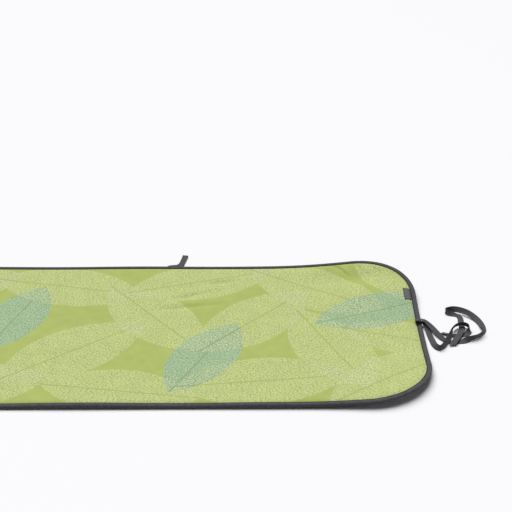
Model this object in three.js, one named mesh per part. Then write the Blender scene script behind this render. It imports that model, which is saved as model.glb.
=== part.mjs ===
// Ironing pad for a table top, built the way it is sewn: a printed cotton cover, a foam sheet,
// a felt sheet and a backing cloth, held together by a folded tape round the edge. A tape tie
// at one end holds the pad rolled up, and a tape loop on the back edge hangs it on a hook.
// Millimetres, +Z up. The origin is the middle of the underside, on the table.
import * as THREE from 'three';
import { mergeVertices } from 'three/addons/utils/BufferGeometryUtils.js';

// Outline, over the binding
const PAD_LENGTH = 1270;
const PAD_WIDTH = 650;
const CORNER_RADIUS = 162;

// Layers at full loft, and the two soft ones where the binding squeezes them. The shoulder has
// risen by its crown's share of the way where it bends over.
const COVER_THICK = 0.6;
const FOAM_THICK = 2;
const FOAM_SQUEEZED = 1;
const FELT_THICK = 5;
const FELT_SQUEEZED = 2.6;
const BACKING_THICK = 0.6;
const SHOULDER_WIDTH = 18;
const SHOULDER_BEND = 7.2;
const SHOULDER_CROWN = 0.7;

// Clearance between pieces that touch, and under the seam thread
const GAP = 0.3;
const TABLE_CLEARANCE = 0.1;

// Edge binding and its seam
const BINDING_WIDTH = 13.5;
const BINDING_THICK = 0.8;
const NOSE_RADIUS = 3.3;
const THREAD_THICK = 0.35;
const THREAD_WIDTH = 0.6;
const SEAM_MARGIN = 3;

// Curl of the two corners at the tie end, which a stored pad keeps from being rolled
const BACK_CURL = 28;
const FRONT_CURL = 15;
const CURL_LENGTH = 420;
const CURL_WIDTH = 285;

// Tie: one tape folded over its sewn line at the end of the pad
const TIE_OFFSET = 31;
const TIE_WIDTH = 15;
const TIE_THICK = 1;
const TIE_FOLD_RADIUS = 4;
const TIE_FOLD_TILT = 14;
const TIE_OVERHANG = 3.5;
const TIE_LAP = 7;
const TIE_LEAD = 4;

// Hanging loop on the back edge
const LOOP_OFFSET = 15;
const LOOP_SPREAD = 27;
const LOOP_WIDTH = 15;
const LOOP_THICK = 1;
const LOOP_CLEARANCE = 0.4;

// Bar tacks, the short blocks of stitches that sew tapes down
const TACK_WIDTH = 2.4;
const TACK_THICK = 0.5;
const TACK_MARGIN = 1.5;
const LOOP_TACK_INSET = 4.5;

// Side label, a woven flap from under the binding
const LABEL_LENGTH = 46;
const LABEL_REACH = 18;
const LABEL_THICK = 0.6;
const LABEL_OFFSET = 156;

// Fineness of the mesh
const CORNER_STEPS = 8;
const FLAT_STEPS = 3;
const CURL_STEPS = 3;
const ROW_STEPS = 9;
const NOSE_STEPS = 3;
const TAPE_STEPS = 3;
const LABEL_STEPS = 5;
const FOLD_STEPS = 8;

const halfLength = PAD_LENGTH / 2;
const halfWidth = PAD_WIDTH / 2;
const rad = THREE.MathUtils.degToRad;

// Heights of the layers, bottom and top of each, stacked with a gap between them
function stack(base, thicknesses) {
  let z = base;
  return thicknesses.map((thick) => {
    const layer = { bottom: z, top: z + thick };
    z = layer.top + GAP;
    return layer;
  });
}

const underThread = { bottom: TABLE_CLEARANCE, top: TABLE_CLEARANCE + THREAD_THICK };
const [underLeg, backingRim, feltRim, foamRim, coverRim, topLeg, topThread] = stack(
  underThread.top + GAP,
  [BINDING_THICK, BACKING_THICK, FELT_SQUEEZED, FOAM_SQUEEZED, COVER_THICK, BINDING_THICK, THREAD_THICK],
);
const [backingFull, feltFull, foamFull, coverFull] = stack(
  0,
  [BACKING_THICK, FELT_THICK, FOAM_THICK, COVER_THICK],
);

// The corners at the tie end rise smoothly from the flat of the pad
function curl(x, y) {
  const along = THREE.MathUtils.smoothstep(x, halfLength - CURL_LENGTH, halfLength);
  const across = THREE.MathUtils.smoothstep(Math.abs(y), halfWidth - CURL_WIDTH, halfWidth);
  return (y > 0 ? BACK_CURL : FRONT_CURL) * along * across;
}

function curled(x, y, z) {
  return new THREE.Vector3(x, y, z + curl(x, y));
}

// Columns across the pad, from end to end, as { x, y } with y the half width there
function columns(inset) {
  const radius = CORNER_RADIUS - inset;
  const straightX = halfLength - CORNER_RADIUS;
  const straightY = halfWidth - CORNER_RADIUS;
  const curlX = halfLength - CURL_LENGTH;
  const list = [];
  for (let i = 0; i <= CORNER_STEPS; i++) {
    const angle = (i / CORNER_STEPS) * Math.PI / 2;
    list.push({ x: -straightX - radius * Math.cos(angle), y: straightY + radius * Math.sin(angle) });
  }
  for (let i = 1; i <= FLAT_STEPS; i++) {
    list.push({ x: THREE.MathUtils.lerp(-straightX, curlX, i / FLAT_STEPS), y: straightY + radius });
  }
  for (let i = 1; i < CURL_STEPS; i++) {
    list.push({ x: THREE.MathUtils.lerp(curlX, straightX, i / CURL_STEPS), y: straightY + radius });
  }
  for (let i = 0; i <= CORNER_STEPS; i++) {
    const angle = (i / CORNER_STEPS) * Math.PI / 2;
    list.push({ x: straightX + radius * Math.sin(angle), y: straightY + radius * Math.cos(angle) });
  }
  return list;
}

// Grid of points inside an inset outline: one column of rows for each x
function grid(inset) {
  return columns(inset).map(({ x, y }) => {
    const column = [];
    for (let j = 0; j <= ROW_STEPS; j++) {
      column.push({ x, y: y * (2 * j / ROW_STEPS - 1) });
    }
    return column;
  });
}

// Rim of that grid, counter-clockwise from the front of the tie end
function rim(inset) {
  const points = grid(inset);
  const last = points.length - 1;
  const middle = points.slice(1, last);
  return [
    ...points[last],
    ...middle.map((column) => column[ROW_STEPS]).reverse(),
    ...[...points[0]].reverse(),
    ...middle.map((column) => column[0]),
  ];
}

// Closed solid from four-sided faces, each listed counter-clockwise from outside
function solidFrom(faces) {
  const corners = [];
  for (const [a, b, c, d] of faces) {
    corners.push(a, b, c, a, c, d);
  }
  const geometry = new THREE.BufferGeometry().setFromPoints(corners);
  const merged = mergeVertices(geometry, 1e-4);
  merged.computeVertexNormals();
  return merged;
}

// Soft sheet: rings of { inset, bottom, top } from its edge inwards, flat inside the last one
// Its two faces are cut along the same diagonals, so sheets that lie together stay clear.
function sheet(rings) {
  const faces = [];
  const level = (ring, side) => rim(ring.inset).map(({ x, y }) => curled(x, y, ring[side]));
  const count = rim(0).length;
  for (let k = 0; k < rings.length - 1; k++) {
    const outerTop = level(rings[k], 'top');
    const innerTop = level(rings[k + 1], 'top');
    const outerBottom = level(rings[k], 'bottom');
    const innerBottom = level(rings[k + 1], 'bottom');
    for (let i = 0; i < count; i++) {
      const n = (i + 1) % count;
      faces.push([outerTop[i], outerTop[n], innerTop[n], innerTop[i]]);
      faces.push([outerBottom[i], innerBottom[i], innerBottom[n], outerBottom[n]]);
    }
  }
  const edgeTop = level(rings[0], 'top');
  const edgeBottom = level(rings[0], 'bottom');
  for (let i = 0; i < count; i++) {
    const n = (i + 1) % count;
    faces.push([edgeBottom[i], edgeBottom[n], edgeTop[n], edgeTop[i]]);
  }
  const inner = rings[rings.length - 1];
  const points = grid(inner.inset);
  for (let i = 0; i < points.length - 1; i++) {
    for (let j = 0; j < ROW_STEPS; j++) {
      const [a, b, c, d] = [points[i][j], points[i + 1][j], points[i + 1][j + 1], points[i][j + 1]];
      faces.push([a, b, c, d].map(({ x, y }) => curled(x, y, inner.top)));
      faces.push([a, d, c, b].map(({ x, y }) => curled(x, y, inner.bottom)));
    }
  }
  return solidFrom(faces);
}

// Closed ring round the pad: a section of [inset, z] points, from the top outwards and round
function ring(section) {
  const faces = [];
  const loops = section.map(([inset, z]) => rim(inset).map(({ x, y }) => curled(x, y, z)));
  const count = loops[0].length;
  loops.forEach((loop, k) => {
    const next = loops[(k + 1) % loops.length];
    for (let i = 0; i < count; i++) {
      const n = (i + 1) % count;
      faces.push([loop[i], next[i], next[n], loop[n]]);
    }
  });
  return solidFrom(faces);
}

// Flat tape along stations of { middle, across }, where across points along the tape's width.
// Its two faces are cut along the same diagonals, so a twisted stretch keeps its thickness.
function tape(stations, width, thick) {
  const sections = stations.map(({ middle, across }, i) => {
    const before = stations[Math.max(i - 1, 0)].middle;
    const after = stations[Math.min(i + 1, stations.length - 1)].middle;
    const along = after.clone().sub(before).normalize();
    const side = across.clone().addScaledVector(along, -across.dot(along)).normalize();
    const face = side.clone().cross(along);
    const corner = (w, h) => middle.clone()
      .addScaledVector(side, w * width / 2)
      .addScaledVector(face, h * thick / 2);
    return [corner(1, 1), corner(1, -1), corner(-1, -1), corner(-1, 1)];
  });
  const faces = [[...sections[0]].reverse(), sections[sections.length - 1]];
  for (let i = 0; i < sections.length - 1; i++) {
    const [a, b, c, d] = sections[i];
    const [e, f, g, h] = sections[i + 1];
    faces.push([a, b, f, e], [b, c, g, f], [c, d, h, g], [a, e, h, d]);
  }
  return solidFrom(faces);
}

// Stations on a smooth curve through rows of [x, y, z, heading, rise]: the point, then where
// the tape's width points, in degrees round from +X and up from the table
function stationsThrough(rows) {
  const widths = rows.map(([, , , heading, rise]) => new THREE.Vector3(
    Math.cos(rad(heading)) * Math.cos(rad(rise)),
    Math.sin(rad(heading)) * Math.cos(rad(rise)),
    Math.sin(rad(rise)),
  ));
  const route = new THREE.CatmullRomCurve3(rows.map(([x, y, z]) => new THREE.Vector3(x, y, z)));
  const turn = new THREE.CatmullRomCurve3(widths);
  const steps = (rows.length - 1) * TAPE_STEPS;
  return Array.from({ length: steps + 1 }, (_, i) => ({
    middle: route.getPoint(i / steps),
    across: turn.getPoint(i / steps),
  }));
}

const pad = new THREE.Group();

function add(name, geometry, color, roughness) {
  const material = new THREE.MeshStandardMaterial({ color, roughness, metalness: 0 });
  const mesh = new THREE.Mesh(geometry, material);
  mesh.name = name;
  pad.add(mesh);
  return mesh;
}

// Layers. Under the binding they lie at the rim's heights, then swell over the shoulder.
const noseRadius = Math.min(NOSE_RADIUS, (topLeg.top - underLeg.bottom) / 2);
const edgeInset = noseRadius + GAP;
const shoulderStart = BINDING_WIDTH + GAP;
const shoulderMiddle = shoulderStart + SHOULDER_BEND;
const shoulderEnd = shoulderStart + SHOULDER_WIDTH;

function between(low, high, share) {
  return {
    bottom: THREE.MathUtils.lerp(low.bottom, high.bottom, share),
    top: THREE.MathUtils.lerp(low.top, high.top, share),
  };
}

function layer(atRim, atFull) {
  return sheet([
    { inset: edgeInset, ...atRim },
    { inset: shoulderStart, ...atRim },
    { inset: shoulderMiddle, ...between(atRim, atFull, SHOULDER_CROWN) },
    { inset: shoulderEnd, ...atFull },
  ]);
}

add('top_cover', layer(coverRim, coverFull), 0xb0bd70, 0.85);
add('foam_layer', layer(foamRim, foamFull), 0xe8e2cf, 0.95);
add('felt_layer', layer(feltRim, feltFull), 0xd9d6cf, 1);
add('backing_cloth', layer(backingRim, backingFull), 0xc9cbc8, 0.8);

// Edge binding, a tape folded round the edge with a rounded nose
function nose(radius, inset, top, bottom) {
  const points = [];
  for (const [centre, from] of [[top - radius, 90], [bottom + radius, 0]]) {
    for (let i = 0; i <= NOSE_STEPS; i++) {
      const angle = rad(from - 90 * i / NOSE_STEPS);
      points.push([inset + radius - radius * Math.cos(angle), centre + radius * Math.sin(angle)]);
    }
  }
  return points;
}

const innerRadius = noseRadius - BINDING_THICK;
add('edge_binding', ring([
  [BINDING_WIDTH, topLeg.top],
  ...nose(noseRadius, 0, topLeg.top, underLeg.bottom),
  [BINDING_WIDTH, underLeg.bottom],
  [BINDING_WIDTH, underLeg.top],
  ...nose(innerRadius, BINDING_THICK, topLeg.bottom, underLeg.top).reverse(),
  [BINDING_WIDTH, topLeg.bottom],
]), 0x4a494b, 0.8);

// Seam threads, the lines of stitching on the two faces of the binding
const seamInset = BINDING_WIDTH - SEAM_MARGIN;
function thread({ bottom, top }) {
  const inner = seamInset + THREAD_WIDTH / 2;
  const outer = seamInset - THREAD_WIDTH / 2;
  return ring([[inner, top], [outer, top], [outer, bottom], [inner, bottom]]);
}

add('seam_thread_top', thread(topThread), 0x3a393b, 0.7);
add('seam_thread_under', thread(underThread), 0x3a393b, 0.7);

// Tie anchor, the fold of the tape on the binding. Its tunnel faces along the edge, wider at the
// near end, because the upper leg is pulled askew.
const tieSides = [TIE_OFFSET - TIE_WIDTH / 2, TIE_OFFSET + TIE_WIDTH / 2];
const tieRise = Math.max(...tieSides.map((y) => curl(halfLength, y)));
const tieLowerZ = topThread.top + GAP + tieRise + TIE_THICK / 2;
const tieUpperZ = tieLowerZ + 2 * TIE_FOLD_RADIUS;
const tieFoldX = halfLength - BINDING_WIDTH - TIE_OVERHANG + TIE_FOLD_RADIUS + TIE_THICK / 2;
const tieEndX = tieFoldX + TIE_LAP;
const acrossTie = (tilt) => new THREE.Vector3(0, Math.cos(rad(tilt)), -Math.sin(rad(tilt)));

const anchorStations = [{ middle: new THREE.Vector3(tieEndX, TIE_OFFSET, tieLowerZ), across: acrossTie(0) }];
for (let i = 0; i <= FOLD_STEPS; i++) {
  const angle = Math.PI * i / FOLD_STEPS;
  anchorStations.push({
    middle: new THREE.Vector3(
      tieFoldX - TIE_FOLD_RADIUS * Math.sin(angle),
      TIE_OFFSET,
      tieLowerZ + TIE_FOLD_RADIUS * (1 - Math.cos(angle)),
    ),
    across: acrossTie(TIE_FOLD_TILT * i / FOLD_STEPS),
  });
}
anchorStations.push({
  middle: new THREE.Vector3(tieEndX, TIE_OFFSET, tieUpperZ),
  across: acrossTie(TIE_FOLD_TILT),
});
add('tie_anchor', tape(anchorStations, TIE_WIDTH, TIE_THICK), 0x4b4a4c, 0.75);

// Bar tack that sews the tie to the binding, inside the fold
function tack(length, width) {
  return new THREE.BoxGeometry(length, width, TACK_THICK);
}

const tieTack = add('tie_bartack', tack(TACK_WIDTH, TIE_WIDTH - 2 * TACK_MARGIN), 0x343335, 0.7);
tieTack.position.set(tieFoldX + TIE_LAP / 2, TIE_OFFSET, tieLowerZ + TIE_THICK / 2 + GAP + TACK_THICK / 2);

// Tie tails. Each row is [x from the pad's end, y from the tie's middle, z, heading, rise].
const LOWER_TAIL = [
  [5, -2.6, 9.4, 70, 0],
  [11, -13, 6.3, 36, 4],
  [13, -29, 2.6, 14, 4],
  [14.5, -48, 1.3, 12, 0],
  [17, -71, 2.6, 12, 12],
  [19, -96, 6.2, 16, 44],
  [24, -111, 8, 30, 68],
  [30.5, -116, 8.4, 80, 74],
  [39.5, -108, 8.4, 130, 64],
  [47, -94, 8.8, 142, 52],
  [56, -77, 10, 142, 48],
  [64.5, -59, 11.2, 132, 56],
  [70.5, -41, 12.2, 90, 66],
  [77, -26, 12.6, -10, 72],
  [87, -15, 12.2, -60, 66],
  [100, -10, 11.8, -85, 64],
  [109, -12.5, 11, -105, 68],
  [115, -19, 9, -140, 78],
  [116, -28, 8.2, 180, 74],
  [112, -37, 4.2, 140, 27],
  [103.5, -44, 1.7, 114, 4],
  [91, -48, 1.4, 100, 2],
  [78, -49.5, 1.4, 90, 2],
  [67, -48, 3, 62, -10],
  [59, -44, 5, 85, -28],
  [51, -41, 5.4, 92, -30],
  [45, -43, 5, 100, -28],
];
const UPPER_TAIL = [
  [6, -2, 16.8, 70, -12],
  [14, -11, 13.8, 48, -6],
  [22, -24, 10.8, 36, 0],
  [30, -40, 8.4, 30, 0],
  [38, -55, 5.6, 32, 0],
  [46, -67, 2.8, 38, 0],
  [55, -76, 0.9, 58, 0],
  [65.5, -79.5, 0.9, 88, 0],
  [77, -79, 0.9, 104, 0],
  [88, -78, 1.8, 108, 4],
  [100, -76.5, 5.8, 106, 40],
  [113, -72, 7.8, 112, 84],
  [129, -63, 7.8, 116, 102],
  [141.5, -51.5, 7.8, 126, 94],
  [148.5, -40, 7.4, 144, 72],
  [151.5, -27, 6, 168, 40],
  [150.5, -13, 4.8, 188, 6],
  [148, 2, 4.8, 204, -14],
  [142, 18, 6.2, 214, -24],
  [133, 32.5, 8.4, 224, -31],
  [122, 44, 10.8, 236, -38],
  [109, 52.5, 12, 249, -47],
  [97, 58.9, 11.8, 258, -54],
  [86, 62.9, 10.5, 264, -67],
  [76, 63, 9, 268, -80],
  [67.6, 58.2, 8.6, 270, -81],
  [73, 52.6, 7.2, 268, -64],
  [83, 50.8, 4.3, 262, -31],
  [93, 48.6, 1.2, 246, -3],
  [100, 42, 0.9, 220, 0],
  [102, 31, 0.9, 197, 0],
  [100.5, 12, 0.9, 186, 0],
  [99.5, -10, 2.4, 178, 0],
  [94.5, -34, 5.8, 164, 0],
  [86, -54, 6.8, 150, 0],
  [77.5, -71, 7, 145, 0],
  [70, -85, 6, 146, 0],
  [64.5, -97, 4.4, 150, 0],
];

function tail(rows, startZ, tilt) {
  const placed = rows.map(([x, y, ...rest]) => [halfLength + x, TIE_OFFSET + y, ...rest]);
  const start = tieEndX + GAP;
  const lead = [start + TIE_LEAD, TIE_OFFSET, startZ, 90, -tilt];
  const root = { middle: new THREE.Vector3(start, TIE_OFFSET, startZ), across: acrossTie(tilt) };
  return tape([root, ...stationsThrough([lead, ...placed])], TIE_WIDTH, TIE_THICK);
}

add('tie_tail_lower', tail(LOWER_TAIL, tieLowerZ, 0), 0x474648, 0.75);
add('tie_tail_upper', tail(UPPER_TAIL, tieUpperZ, TIE_FOLD_TILT), 0x4b4a4c, 0.75);

// Hanging loop: out along one leg, folded back under it, and across to the second leg.
// Each row is [x from the first leg, y from the back edge, z, heading, rise].
const rootZ = (topLeg.top + underLeg.bottom) / 2;
const rootY = LOOP_CLEARANCE + LOOP_THICK / 2;
const LOOP_ROUTE = [
  [0, rootY, rootZ, 0, 0],
  [0, 8, 4.4, -4, 0],
  [4, 22, 3, -12, 0],
  [8, 42, 2.7, -12, 0],
  [11, 58, 3.2, -10, 0],
  [12.4, 68, 3.7, -9, 0],
  [12.8, 71, 3.5, -9, 0],
  [13, 72.3, 2.3, -9, 0],
  [12.8, 71, 1.1, -9, 0],
  [12.4, 68, 0.9, -9, 0],
  [10.5, 58, 0.8, -10, 0],
  [7, 42, 0.8, -14, 0],
  [2, 30, 0.8, -34, 0],
  [-7, 23, 0.9, -62, 0],
  [-17, 19, 1.6, -62, 0],
  [3.5 - LOOP_SPREAD, 14, 2.9, -38, 0],
  [-LOOP_SPREAD, 8, 4.1, -8, 0],
  [-LOOP_SPREAD, rootY, rootZ, 0, 0],
];
const loopRows = LOOP_ROUTE.map(([x, y, ...rest]) => [LOOP_OFFSET + x, halfWidth + y, ...rest]);
add('hanging_loop', tape(stationsThrough(loopRows), LOOP_WIDTH, LOOP_THICK), 0x58575a, 0.75);

// Bar tacks through the binding, over the loop's two sewn ends
for (const [name, x] of [['right', LOOP_OFFSET], ['left', LOOP_OFFSET - LOOP_SPREAD]]) {
  const bar = add(`loop_bartack_${name}`, tack(LOOP_WIDTH - 2 * TACK_MARGIN, TACK_WIDTH), 0x343335, 0.7);
  bar.position.set(x, halfWidth - LOOP_TACK_INSET, topLeg.top + GAP + TACK_THICK / 2);
}

// Side label, lying on the cover with its edge against the binding
function coverTop(inset) {
  const rings = [
    [shoulderStart, coverRim.top],
    [shoulderMiddle, between(coverRim, coverFull, SHOULDER_CROWN).top],
    [shoulderEnd, coverFull.top],
  ];
  for (let k = 1; k < rings.length; k++) {
    const [from, low] = rings[k - 1];
    const [to, high] = rings[k];
    if (inset < to) {
      return THREE.MathUtils.lerp(low, high, Math.max(inset - from, 0) / (to - from));
    }
  }
  return coverFull.top;
}

// Where an inset outline crosses a line along the pad, at its tie end, on the cover's own facets
function endPoint(inset, y, z) {
  const edge = rim(inset).filter((point) => point.x > halfLength - CORNER_RADIUS);
  edge.sort((a, b) => a.y - b.y);
  const above = edge.findIndex((point) => point.y > y);
  const [low, high] = [edge[above - 1], edge[above]].map((point) => curled(point.x, point.y, z));
  return low.lerp(high, (y - low.y) / (high.y - low.y));
}

function labelSolid() {
  const outer = BINDING_WIDTH + GAP;
  const inner = outer + LABEL_REACH;
  const bends = [shoulderMiddle, shoulderEnd].filter((inset) => inset > outer && inset < inner);
  const insets = [outer, ...bends, inner];
  const lines = [];
  for (let i = 0; i <= LABEL_STEPS; i++) {
    const y = LABEL_OFFSET + LABEL_LENGTH * (i / LABEL_STEPS - 0.5);
    const point = (inset, rise) => endPoint(inset, y, coverTop(inset) + rise);
    lines.push([
      ...insets.map((inset) => point(inset, GAP + LABEL_THICK)),
      ...[...insets].reverse().map((inset) => point(inset, GAP)),
    ]);
  }
  const faces = [];
  const size = lines[0].length;
  for (let i = 0; i < LABEL_STEPS; i++) {
    for (let k = 0; k < size; k++) {
      const n = (k + 1) % size;
      faces.push([lines[i][k], lines[i + 1][k], lines[i + 1][n], lines[i][n]]);
    }
  }
  for (let k = 0; k < insets.length - 1; k++) {
    const back = size - 1 - k;
    const first = lines[0];
    const last = lines[LABEL_STEPS];
    faces.push([first[k], first[k + 1], first[back - 1], first[back]]);
    faces.push([last[k], last[back], last[back - 1], last[k + 1]]);
  }
  return solidFrom(faces);
}

add('side_label', labelSolid(), 0x515053, 0.8);

export default pad;
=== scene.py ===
import math

import bpy
import numpy as np
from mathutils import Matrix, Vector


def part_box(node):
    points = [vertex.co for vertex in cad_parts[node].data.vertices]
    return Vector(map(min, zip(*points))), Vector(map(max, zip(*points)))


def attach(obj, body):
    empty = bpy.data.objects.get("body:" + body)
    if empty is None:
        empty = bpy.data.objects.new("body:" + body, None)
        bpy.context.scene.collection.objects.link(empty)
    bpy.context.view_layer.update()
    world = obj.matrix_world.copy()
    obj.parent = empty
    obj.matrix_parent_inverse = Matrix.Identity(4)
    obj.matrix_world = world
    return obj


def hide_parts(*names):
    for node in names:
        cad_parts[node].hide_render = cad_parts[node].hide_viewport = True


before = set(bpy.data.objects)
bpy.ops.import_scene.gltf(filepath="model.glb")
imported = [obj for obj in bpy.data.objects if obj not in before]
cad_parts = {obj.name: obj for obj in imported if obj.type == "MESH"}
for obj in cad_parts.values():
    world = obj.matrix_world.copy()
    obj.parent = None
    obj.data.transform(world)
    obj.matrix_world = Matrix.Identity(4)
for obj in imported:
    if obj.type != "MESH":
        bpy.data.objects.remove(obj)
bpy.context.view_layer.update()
scene = bpy.context.scene

# Camera
# The photograph's view: a long lens, low over the front edge, with the tie end on the right.
# The lens is worked out from the photograph's own size in pixels.
PHOTO_PIXELS = 512
FOCAL_PIXELS = 1250
SENSOR_MM = 36.0
CAMERA_PLACE = (0.207, -2.635, 1.648)
CAMERA_PITCH = 28.51
CAMERA_YAW = 0.29

camera_data = bpy.data.cameras.new("camera")
camera_data.sensor_width = SENSOR_MM
camera_data.lens = FOCAL_PIXELS / PHOTO_PIXELS * SENSOR_MM
camera = bpy.data.objects.new("camera", camera_data)
camera.location = CAMERA_PLACE
camera.rotation_euler = (math.radians(90 - CAMERA_PITCH), 0, math.radians(-CAMERA_YAW))
scene.collection.objects.link(camera)
scene.camera = camera
scene.view_settings.view_transform = "Standard"

# Backing cloth
# The underside of the pad: a pale grey heat-resistant cotton cloth, cut to the pad's outline.
# The pad rests on it, and its edge is caught in the binding.
MM = 0.001
binding_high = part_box("edge_binding")[1]
HALF_LENGTH = binding_high.x
HALF_WIDTH = binding_high.y
CORNER_RADIUS = 162 * MM
BINDING_WIDTH = 13.5 * MM
SHOULDER_WIDTH = 18 * MM
SHOULDER_ROUND = 2.3
CLOTH_THICK = 0.6 * MM

# The two corners at the tie end stay curled up from being rolled
BACK_CURL = 28 * MM
FRONT_CURL = 18 * MM
CURL_LENGTH = 420 * MM
CURL_WIDTH = 285 * MM
CURL_LATENESS = 1.4
# Where the back corner starts to lift, the pad sags in front of its stiff edge
SAG_PLACE = (0.480, 0.245)
SAG_REACH = (0.090, 0.040)
SAG_DEPTH = 11.0 * MM

# The soft edge puffs up where the binding gathers it, more or less by turns along its length, and
# more at the front than at the back. Towards the tie the puff dies out into the curl.
PUFF_FRONT = 3.8 * MM
PUFF_BACK = 2.2 * MM
PUFF_MEAN = 0.66
PUFF_SWING = 0.34
PUFF_LENGTH = 0.44
PUFF_CREST = -0.135
PUFF_SLANT = 0.14
PUFF_DEPTH = 0.06
PUFF_END = 0.52
PUFF_BELOW = 0.15


def smooth_step(value, low, high):
    share = np.clip((value - low) / (high - low), 0, 1)
    return share * share * (3 - 2 * share)


def inset_at(x, y):
    over_x = np.abs(x) - (HALF_LENGTH - CORNER_RADIUS)
    over_y = np.abs(y) - (HALF_WIDTH - CORNER_RADIUS)
    outside = np.hypot(np.maximum(over_x, 0), np.maximum(over_y, 0))
    return CORNER_RADIUS - outside - np.minimum(np.maximum(over_x, over_y), 0)


def hollow(x, y, at_x, at_y, reach_x, reach_y):
    return np.exp(-((x - at_x) / reach_x) ** 2 - ((y - at_y) / reach_y) ** 2)


def lift(x, y):
    along = smooth_step(x, HALF_LENGTH - CURL_LENGTH, HALF_LENGTH) ** CURL_LATENESS
    across = smooth_step(np.abs(y), HALF_WIDTH - CURL_WIDTH, HALF_WIDTH)
    sag = SAG_DEPTH * hollow(x, y, *SAG_PLACE, *SAG_REACH)
    sag = sag * smooth_step(inset_at(x, y), BINDING_WIDTH, BINDING_WIDTH + SHOULDER_WIDTH)
    return np.where(y > 0, BACK_CURL, FRONT_CURL) * along * across - sag


def puff(x, y):
    phase = math.tau * (x - PUFF_CREST - PUFF_SLANT * y) / PUFF_LENGTH
    wave = PUFF_MEAN + PUFF_SWING * np.cos(phase)
    tall = PUFF_FRONT + (PUFF_BACK - PUFF_FRONT) * (0.5 + 0.5 * y / HALF_WIDTH)
    near_edge = np.exp(-np.maximum(inset_at(x, y), 0) / PUFF_DEPTH)
    return tall * wave * near_edge * (1 - smooth_step(x, HALF_LENGTH - CURL_LENGTH, PUFF_END))


def shoulder(inset, at_rim, at_full):
    share = np.clip((inset - BINDING_WIDTH) / SHOULDER_WIDTH, 0, 1)
    return at_rim + (at_full - at_rim) * (1 - (1 - share) ** SHOULDER_ROUND)


def make_piece(name, points, faces):
    corners = points[faces]
    first, second, third = corners[:, 0], corners[:, 1], corners[:, 2]
    fourth = corners[:, -1]
    volume = (first * np.cross(second, third)).sum() + (first * np.cross(third, fourth)).sum()
    if volume < 0:
        faces = faces[:, ::-1]
    mesh = bpy.data.meshes.new(name)
    mesh.from_pydata(points.tolist(), [], faces.tolist())
    mesh.polygons.foreach_set("use_smooth", np.ones(len(faces), bool))
    mesh.update()
    made = bpy.data.objects.new(name, mesh)
    scene.collection.objects.link(made)
    return made


# The grid is finer towards the back corner at the tie end, where the cloth creases most
GRID_CROWDING = 0.35


def finer_at_end(share):
    return share + GRID_CROWDING * (1 - share * share)


def plan_grid(steps, inset):
    corner_steps, long_steps, row_steps = steps
    radius = CORNER_RADIUS - inset
    straight_x = HALF_LENGTH - CORNER_RADIUS
    straight_y = HALF_WIDTH - CORNER_RADIUS
    turn = np.linspace(0, math.pi / 2, corner_steps + 1)
    middle = straight_x * finer_at_end(np.linspace(-1, 1, long_steps + 1))[1:-1]
    left = -straight_x - radius * np.cos(turn)
    right = straight_x + radius * np.sin(turn)
    x = np.concatenate([left, middle, right])
    rise = straight_y + radius * np.sin(turn)
    y = np.concatenate([rise, np.full(len(middle), straight_y + radius), rise[::-1]])
    rows = finer_at_end(np.linspace(-1, 1, row_steps + 1))
    return np.repeat(x[:, None], row_steps + 1, axis=1), y[:, None] * rows


def rim_of(grid):
    return np.concatenate([grid[-1], grid[-2:0:-1, -1], grid[0, ::-1], grid[1:-1, 0]])


def make_sheet(name, steps, insets, top_at, bottom_at):
    x, y = plan_grid(steps, insets[-1])
    index = np.arange(x.size).reshape(x.shape)
    inner = rim_of(index)
    corners = [index[:-1, :-1], index[1:, :-1], index[1:, 1:], index[:-1, 1:]]
    quads = [np.stack(corners, -1).reshape(-1, 4)]
    places = [np.stack([x.ravel(), y.ravel()], -1)]
    count = x.size
    for inset in insets[-2::-1]:
        ring_x, ring_y = plan_grid(steps, inset)
        places.append(np.stack([rim_of(ring_x), rim_of(ring_y)], -1))
        outer = count + np.arange(len(inner))
        quads.append(np.stack([outer, np.roll(outer, -1), np.roll(inner, -1), inner], -1))
        count += len(inner)
        inner = outer
    plan = np.concatenate(places)
    faces = np.concatenate(quads)
    inset = inset_at(plan[:, 0], plan[:, 1])
    top = np.column_stack([plan, top_at(plan[:, 0], plan[:, 1], inset)])
    bottom = np.column_stack([plan, bottom_at(plan[:, 0], plan[:, 1], inset)])
    edge = np.stack([inner + count, np.roll(inner, -1) + count, np.roll(inner, -1), inner], -1)
    points = np.concatenate([top, bottom])
    return make_piece(name, points, np.concatenate([faces, faces[:, ::-1] + count, edge]))


def to_linear(hex_colour):
    values = [int(hex_colour[i:i + 2], 16) / 255 for i in (1, 3, 5)]
    return (*[v / 12.92 if v <= 0.04045 else ((v + 0.055) / 1.055) ** 2.4 for v in values], 1)


def add_node(tree, kind, inputs=(), **settings):
    node = tree.nodes.new("ShaderNode" + kind)
    for name, value in settings.items():
        setattr(node, name, value)
    for key, value in dict(inputs).items():
        if isinstance(value, bpy.types.NodeSocket):
            tree.links.new(value, node.inputs[key])
        else:
            node.inputs[key].default_value = value
    return node


def new_material(name, roughness, sheen):
    material = bpy.data.materials.new(name)
    material.use_nodes = True
    shader = material.node_tree.nodes["Principled BSDF"]
    shader.inputs["Roughness"].default_value = roughness
    shader.inputs["Sheen Weight"].default_value = sheen
    shader.inputs["Sheen Roughness"].default_value = 0.5
    shader.inputs["Specular IOR Level"].default_value = 0.2
    return material, material.node_tree, shader


def join_shader(tree, shader, colour, bump):
    tree.links.new(colour, shader.inputs["Base Color"])
    tree.links.new(bump.outputs["Normal"], shader.inputs["Normal"])


# Steps of the grid round a corner, along the pad and across it, then its rings in from the edge
PLAIN_STEPS = (20, 60, 40)
LAYER_INSETS = [inset * MM for inset in (3.6, 8, 13.5, 16, 20, 25, 31.8, 45)]
BACKING_RIM = 1.85 * MM


def backing_under(x, y, inset):
    return shoulder(inset, BACKING_RIM, 0) + lift(x, y) + PUFF_BELOW * puff(x, y)


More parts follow.
